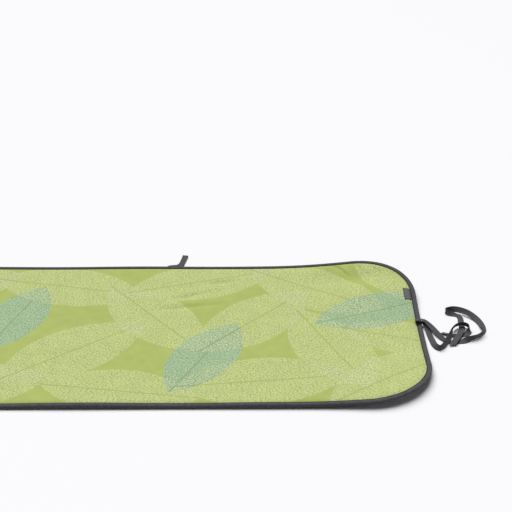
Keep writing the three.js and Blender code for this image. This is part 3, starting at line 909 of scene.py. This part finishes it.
line = add_node(
    tree, "MapRange",
    {"Value": border, "From Min": BORDER_INSET + BORDER_WIDTH, "From Max": BORDER_INSET},
).outputs[0]
rib = add_node(
    tree, "Math", {0: tape_parts.outputs[0], 1: math.tau / LABEL_RIB},
    operation="MULTIPLY",
).outputs[0]
rib = add_node(tree, "Math", {0: rib}, operation="SINE").outputs[0]
colour = add_node(
    tree, "Mix", {0: line, 6: to_linear("#575659"), 7: to_linear("#2f2e31")},
    data_type="RGBA",
).outputs[2]
bump = add_node(tree, "Bump", {"Height": rib, "Strength": 0.35, "Distance": 0.08 * MM})
join_shader(tree, shader, colour, bump)
label.data.materials.append(material)
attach(label, "label")
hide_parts("side_label")

# Tie
# A dark grey woven tape, 15 mm wide, folded over where it is sewn to the end of the pad. Its two
# tails hold the pad rolled up. Here they lie loose beside it, curled and crossed.
TAPE_WIDTH = 15 * MM
TAPE_THICK = 1.0 * MM
TIE_Y = 31 * MM
TIE_LOW_Z = 10.1 * MM
TIE_HIGH_Z = 18.1 * MM
TIE_FOLD_RADIUS = 4 * MM
TIE_FOLD_TILT = 14
TIE_FOLD_X = HALF_LENGTH - 12.5 * MM
TIE_END_X = TIE_FOLD_X + 7 * MM
TIE_GAP = 0.3 * MM
TIE_LEAD = 4 * MM

# Routes of the tails, in millimetres: x from the pad's end, y from the tie's middle, height,
# then where the tape's width points, in degrees round from +X and up from level
LOWER_TAIL = [
    (5, -2.6, 9.4, 70, 0), (11, -13, 6.3, 36, 4), (13, -29, 2.6, 14, 4), (14.5, -48, 1.3, 12, 0),
    (17, -71, 2.6, 12, 12), (19, -96, 6.2, 16, 44), (24, -111, 8, 30, 68),
    (30.5, -116, 8.4, 80, 74), (39.5, -108, 8.4, 130, 64), (47, -94, 8.8, 142, 52),
    (56, -77, 10, 142, 48), (64.5, -59, 11.2, 132, 56), (70.5, -41, 12.2, 90, 66),
    (77, -26, 12.6, -10, 72), (87, -15, 12.2, -60, 66), (100, -10, 11.8, -85, 64),
    (109, -12.5, 11, -105, 68), (115, -19, 9, -140, 78), (116, -28, 8.2, 180, 74),
    (112, -37, 4.2, 140, 27), (103.5, -44, 1.7, 114, 4), (91, -48, 1.4, 100, 2),
    (78, -49.5, 1.4, 90, 2), (67, -48, 3, 62, -10), (59, -44, 5, 85, -28), (51, -41, 5.4, 92, -30),
    (45, -43, 5, 100, -28),
]
UPPER_TAIL = [
    (6, -2, 16.8, 70, -12), (14, -11, 13.8, 48, -6), (22, -24, 10.8, 36, 0), (30, -40, 8.4, 30, 0),
    (38, -55, 5.6, 32, 0), (46, -67, 2.8, 38, 0), (55, -76, 0.9, 58, 0), (65.5, -79.5, 0.9, 88, 0),
    (77, -79, 0.9, 104, 0), (88, -78, 1.8, 108, 4), (100, -76.5, 5.8, 106, 40),
    (113, -72, 7.8, 112, 84), (129, -63, 7.8, 116, 102), (141.5, -51.5, 7.8, 126, 94),
    (148.5, -40, 7.4, 144, 72), (151.5, -27, 6, 168, 40), (150.5, -13, 4.8, 188, 6),
    (148, 2, 4.8, 204, -14), (142, 18, 6.2, 214, -24), (133, 32.5, 8.4, 224, -31),
    (122, 44, 10.8, 236, -38), (109, 52.5, 12, 249, -47), (97, 58.9, 11.8, 258, -54),
    (86, 62.9, 10.5, 264, -67), (76, 63, 9, 268, -80), (67.6, 58.2, 8.6, 270, -81),
    (73, 52.6, 7.2, 268, -64), (83, 50.8, 4.3, 262, -31), (93, 48.6, 1.2, 246, -3),
    (100, 42, 0.9, 220, 0), (102, 31, 0.9, 197, 0), (100.5, 12, 0.9, 186, 0),
    (99.5, -10, 2.4, 178, 0), (94.5, -34, 5.8, 164, 0), (86, -54, 6.8, 150, 0),
    (77.5, -71, 7, 145, 0), (70, -85, 6, 146, 0), (64.5, -97, 4.4, 150, 0),
]
LOWER_LENGTH = 0.385
UPPER_LENGTH = 0.58
# How far the cut at each end slants, and how many times that far back the weave follows it
LOWER_CUT = 3 * MM
UPPER_CUT = 6 * MM
CUT_REACH = 2.5
TAPE_SAMPLES = 8
LEAST_GAP = 1e-6
FOLD_STEPS = 16
# The tape's section from its edge to its middle, as shares of half its width and half its
# thickness. The woven edge is a little thicker than the rest.
TAPE_SECTION = [(1, 0.25), (0.97, 0.85), (0.9, 1.1), (0.8, 0.98), (0.4, 0.92), (0, 0.92)]


def curve_through(points, samples):
    ends = [2 * points[0] - points[1], *points, 2 * points[-1] - points[-2]]
    share = np.linspace(0, 1, samples + 1)[:, None]
    found = [points[:1]]
    for a, b, c, d in zip(ends, ends[1:], ends[2:], ends[3:]):
        pairs = ((a, b), (b, c), (c, d))
        gap_0, gap_1, gap_2 = [max(np.linalg.norm(q - p), LEAST_GAP) ** 0.5 for p, q in pairs]
        out = ((b - a) / gap_0 - (c - a) / (gap_0 + gap_1) + (c - b) / gap_1) * gap_1
        into = ((c - b) / gap_1 - (d - b) / (gap_1 + gap_2) + (d - c) / gap_2) * gap_1
        t = share[1:]
        square = 3 * (c - b) - 2 * out - into
        cube = out + into - 2 * (c - b)
        found.append(b + out * t + square * t ** 2 + cube * t ** 3)
    return np.concatenate(found)


def tape_route(rows):
    rows = np.array(rows, float)
    heading, rise = np.radians(rows[:, 3]), np.radians(rows[:, 4])
    level = np.cos(rise)
    across = np.stack([np.cos(heading) * level, np.sin(heading) * level, np.sin(rise)], -1)
    return curve_through(rows[:, :3], TAPE_SAMPLES), curve_through(across, TAPE_SAMPLES)


def place_rows(rows, from_x, from_y):
    return [
        (from_x + x * MM, from_y + y * MM, z * MM, heading, rise)
        for x, y, z, heading, rise in rows
    ]


def make_tape(name, middles, across, width, thick, cut=0.0):
    run = np.gradient(middles, axis=0)
    run /= np.linalg.norm(run, axis=1, keepdims=True)
    side = across - (across * run).sum(1, keepdims=True) * run
    side /= np.linalg.norm(side, axis=1, keepdims=True)
    face = np.cross(side, run)
    edge_w, edge_h = np.array(TAPE_SECTION).T
    wide = np.concatenate([edge_w, -edge_w[-2::-1]]) * width / 2
    high = np.concatenate([edge_h, edge_h[-2::-1]]) * thick / 2
    section_w = np.concatenate([wide, wide[::-1]])
    section_h = np.concatenate([high, -high[::-1]])
    rings = middles[:, None] + section_w[:, None] * side[:, None]
    rings = rings + section_h[:, None] * face[:, None]
    long = np.concatenate([[0], np.cumsum(np.linalg.norm(np.diff(middles, axis=0), axis=1))])
    if cut:
        slanted = cut * smooth_step(long, long[-1] - CUT_REACH * cut, long[-1])
        rings = rings + (slanted[:, None] * section_w / (width / 2))[..., None] * run[:, None]
    around = np.append(section_w, section_w[0]) + width / 2
    return loft(name, rings, long, around, False)


# Woven polyester tape: charcoal grey and matt, with a herringbone of fine ribs that meet down the
# middle. The ribs are drawn 1.6 mm apart, coarser than the real 0.8 mm, so that they show.
TAPE_RIB = 1.6 * MM
TAPE_FUZZ = 12 * MM
tape_material, tree, shader = new_material("charcoal_woven_tape", 0.8, 0.08)
tape_map = add_node(tree, "UVMap", uv_map="tape").outputs[0]
tape_parts = add_node(tree, "SeparateXYZ", {0: tape_map})
from_middle = add_node(
    tree, "Math", {0: tape_parts.outputs[1], 1: TAPE_WIDTH / 2},
    operation="SUBTRACT",
).outputs[0]
from_middle = add_node(tree, "Math", {0: from_middle}, operation="ABSOLUTE").outputs[0]
slant = add_node(
    tree, "Math", {0: tape_parts.outputs[0], 1: from_middle},
    operation="ADD",
).outputs[0]
slant = add_node(tree, "Math", {0: slant, 1: math.tau / TAPE_RIB}, operation="MULTIPLY").outputs[0]
rib = add_node(tree, "Math", {0: slant}, operation="SINE").outputs[0]
place = add_node(tree, "TexCoord").outputs["Object"]
fuzz = add_node(
    tree, "TexNoise", {"Vector": place, "Scale": 1 / TAPE_FUZZ, "Detail": 5.0},
).outputs["Fac"]
colour = add_node(
    tree, "Mix", {0: fuzz, 6: to_linear("#3f3e41"), 7: to_linear("#565558")},
    data_type="RGBA",
).outputs[2]
ribbed = add_node(
    tree, "MapRange",
    {"Value": rib, "From Min": -1.0, "From Max": 1.0, "To Min": 0.82, "To Max": 1.08},
).outputs[0]
colour = add_node(tree, "VectorMath", {0: colour, "Scale": ribbed}, operation="SCALE").outputs[0]
bump = add_node(tree, "Bump", {"Height": rib, "Strength": 0.4, "Distance": 0.12 * MM})
join_shader(tree, shader, colour, bump)

fold_turn = np.linspace(0, math.pi, FOLD_STEPS + 1)
fold = np.stack([
    TIE_FOLD_X - TIE_FOLD_RADIUS * np.sin(fold_turn),
    np.full(len(fold_turn), TIE_Y),
    TIE_LOW_Z + TIE_FOLD_RADIUS * (1 - np.cos(fold_turn))], -1)
fold = np.concatenate([[(TIE_END_X, TIE_Y, TIE_LOW_Z)], fold, [(TIE_END_X, TIE_Y, TIE_HIGH_Z)]])
fold_tilt = np.radians(TIE_FOLD_TILT) * np.concatenate([[0], fold_turn / math.pi, [1]])
fold_across = np.stack([np.zeros(len(fold)), np.cos(fold_tilt), -np.sin(fold_tilt)], -1)
tie_fold = make_tape("tie_fold", fold, fold_across, TAPE_WIDTH, TAPE_THICK)
tie_fold.data.materials.append(tape_material)
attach(tie_fold, "tie")
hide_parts("tie_anchor")

for name, node, rows, start_z, tilt, length, cut in [
    ("tie_lower_tail", "tie_tail_lower", LOWER_TAIL, TIE_LOW_Z, 0, LOWER_LENGTH, LOWER_CUT),
    ("tie_upper_tail", "tie_tail_upper", UPPER_TAIL, TIE_HIGH_Z, TIE_FOLD_TILT, UPPER_LENGTH,
     UPPER_CUT),
]:
    start = TIE_END_X + TIE_GAP
    placed = place_rows(rows, HALF_LENGTH, TIE_Y)
    middles, across = tape_route([(start + TIE_LEAD, TIE_Y, start_z, 90, -tilt), *placed])
    middles = np.concatenate([[(start, TIE_Y, start_z)], middles])
    across = np.concatenate([across[:1], across])
    tail = make_tape(name, middles, across, TAPE_WIDTH, TAPE_THICK, cut)
    tail.data.materials.append(tape_material)
    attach(tail, "tie")
    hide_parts(node)

# Bar tack of the tie
# A dense block of zigzag stitches in dark polyester thread, inside the fold. It sews the tape
# through the binding to the end of the pad, and takes the pull when the tie is knotted.
TACK_ROWS = 9
TACK_LEAN = 0.25


def tack_box(node):
    low, high = [np.array(corner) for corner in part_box(node)]
    return low, (low + high) / 2, high - low


def bar_tack(name, middle, along, across, length, width):
    along, across = np.array(along, float), np.array(across, float)
    share = np.linspace(-0.5, 0.5, TACK_ROWS)
    middles = np.array(middle) + share[:, None] * length * along
    lean = np.where(np.arange(TACK_ROWS) % 2 == 0, TACK_LEAN, -TACK_LEAN)[:, None]
    runs = across + lean * along
    runs /= np.linalg.norm(runs, axis=1, keepdims=True)
    ups = np.tile((0.0, 0.0, 1.0), (TACK_ROWS, 1))
    return make_stitches(name, middles, runs, ups, width, THREAD_RADIUS)


tack_low, tack_middle, tack_size = tack_box("tie_bartack")
tack_place = (tack_middle[0], tack_middle[1], tack_low[2])
tie_tack = bar_tack("tie_stitches", tack_place, (0, 1, 0), (1, 0, 0), tack_size[1], tack_size[0])
tie_tack.data.materials.append(thread_material)
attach(tie_tack, "tie")
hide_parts("tie_bartack")

# Hanging loop
# A loop of the same tape at the middle of the back edge, to hang the pad on a hook. Its ends are
# sewn into the binding, and here it lies folded over behind the pad.
LOOP_X = 15 * MM
LOOP_SPREAD = 27
LOOP_ROOT_Z = 4.7
# Its route, in millimetres: x from its right end, y from the pad's edge, height, then where the
# tape's width points, as for the tie
LOOP_ROUTE = [
    (0, 0.9, LOOP_ROOT_Z, 0, 0), (0, 8, 4.4, -4, 0), (4, 22, 3, -12, 0), (8, 42, 2.7, -12, 0),
    (11, 58, 3.2, -10, 0), (12.4, 68, 3.7, -9, 0), (12.8, 71, 3.5, -9, 0), (13, 72.3, 2.3, -9, 0),
    (12.8, 71, 1.1, -9, 0), (12.4, 68, 0.9, -9, 0), (10.5, 58, 0.8, -10, 0), (7, 42, 0.8, -14, 0),
    (3, 26, 0.8, -30, 0), (-4, 17, 0.9, -60, 0), (-13, 13.5, 1.5, -68, 0),
    (6 - LOOP_SPREAD, 11, 2.8, -42, 0), (1 - LOOP_SPREAD, 7, 4.1, -10, 0),
    (-LOOP_SPREAD, 0.9, LOOP_ROOT_Z, 0, 0),
]
middles, across = tape_route(place_rows(LOOP_ROUTE, LOOP_X, HALF_WIDTH))
loop = make_tape("hanging_tape", middles, across, TAPE_WIDTH, TAPE_THICK)
loop.data.materials.append(tape_material)
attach(loop, "loop")
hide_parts("hanging_loop")

# Bar tacks of the hanging loop
# Two short blocks of zigzag stitches in the same dark thread, sewn through the binding over the
# loop's two ends. They carry the pad when it hangs on a hook.
for name, node in [
    ("loop_stitches_right", "loop_bartack_right"),
    ("loop_stitches_left", "loop_bartack_left"),
]:
    _, tack_middle, tack_size = tack_box(node)
    tack_z = BINDING_TOP + SWELL + float(puff(tack_middle[0], tack_middle[1]))
    tack_place = (tack_middle[0], tack_middle[1], tack_z)
    tack = bar_tack(name, tack_place, (1, 0, 0), (0, 1, 0), tack_size[0], tack_size[1])
    tack.data.materials.append(thread_material)
    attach(tack, "pad")
    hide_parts(node)

# Floor
# A plain pale studio floor, flat and matt, wide enough to fill the view. It isn't part of the
# pad, which lies on it.
FLOOR_SIZE = 14.0
FLOOR_DROP = 0.1 * MM
half = FLOOR_SIZE / 2
plan = [(-half, -half), (half, -half), (half, half), (-half, half)]
corners = np.array([(x, y, -FLOOR_DROP) for x, y in plan])
floor = make_piece("floor", corners, np.array([[0, 1, 2, 3]]))

# Matt painted board: an even grey-white that shows only soft shadows.
material, tree, shader = new_material("pale_floor", 0.7, 0.0)
shader.inputs["Base Color"].default_value = to_linear("#e8e8ea")
floor.data.materials.append(material)

# Studio light
# One wide soft key from behind and to the left, and white surroundings that fill the shadows a
# little.
KEY_FROM = (-1.35, 2.5, 5.9)
KEY_WIDTH = 58
KEY_STRENGTH = 3.6
FILL_STRENGTH = 0.16
lamp = bpy.data.lights.new("key_light", "SUN")
lamp.angle = math.radians(KEY_WIDTH)
lamp.energy = KEY_STRENGTH
key_light = bpy.data.objects.new("key_light", lamp)
key_light.location = KEY_FROM
key_tilt = math.atan2(math.hypot(KEY_FROM[0], KEY_FROM[1]), KEY_FROM[2])
key_light.rotation_euler = (key_tilt, 0, math.atan2(KEY_FROM[0], -KEY_FROM[1]))
scene.collection.objects.link(key_light)

# The surroundings look white behind the floor, and light the pad only weakly
world = bpy.data.worlds.new("white_surroundings")
world.use_nodes = True
background = world.node_tree.nodes["Background"]
background.inputs["Color"].default_value = to_linear("#ffffff")
seen = add_node(world.node_tree, "LightPath").outputs["Is Camera Ray"]
strength = add_node(
    world.node_tree, "MapRange", {"Value": seen, "To Min": FILL_STRENGTH, "To Max": 1.0},
).outputs[0]
world.node_tree.links.new(strength, background.inputs["Strength"])
scene.world = world
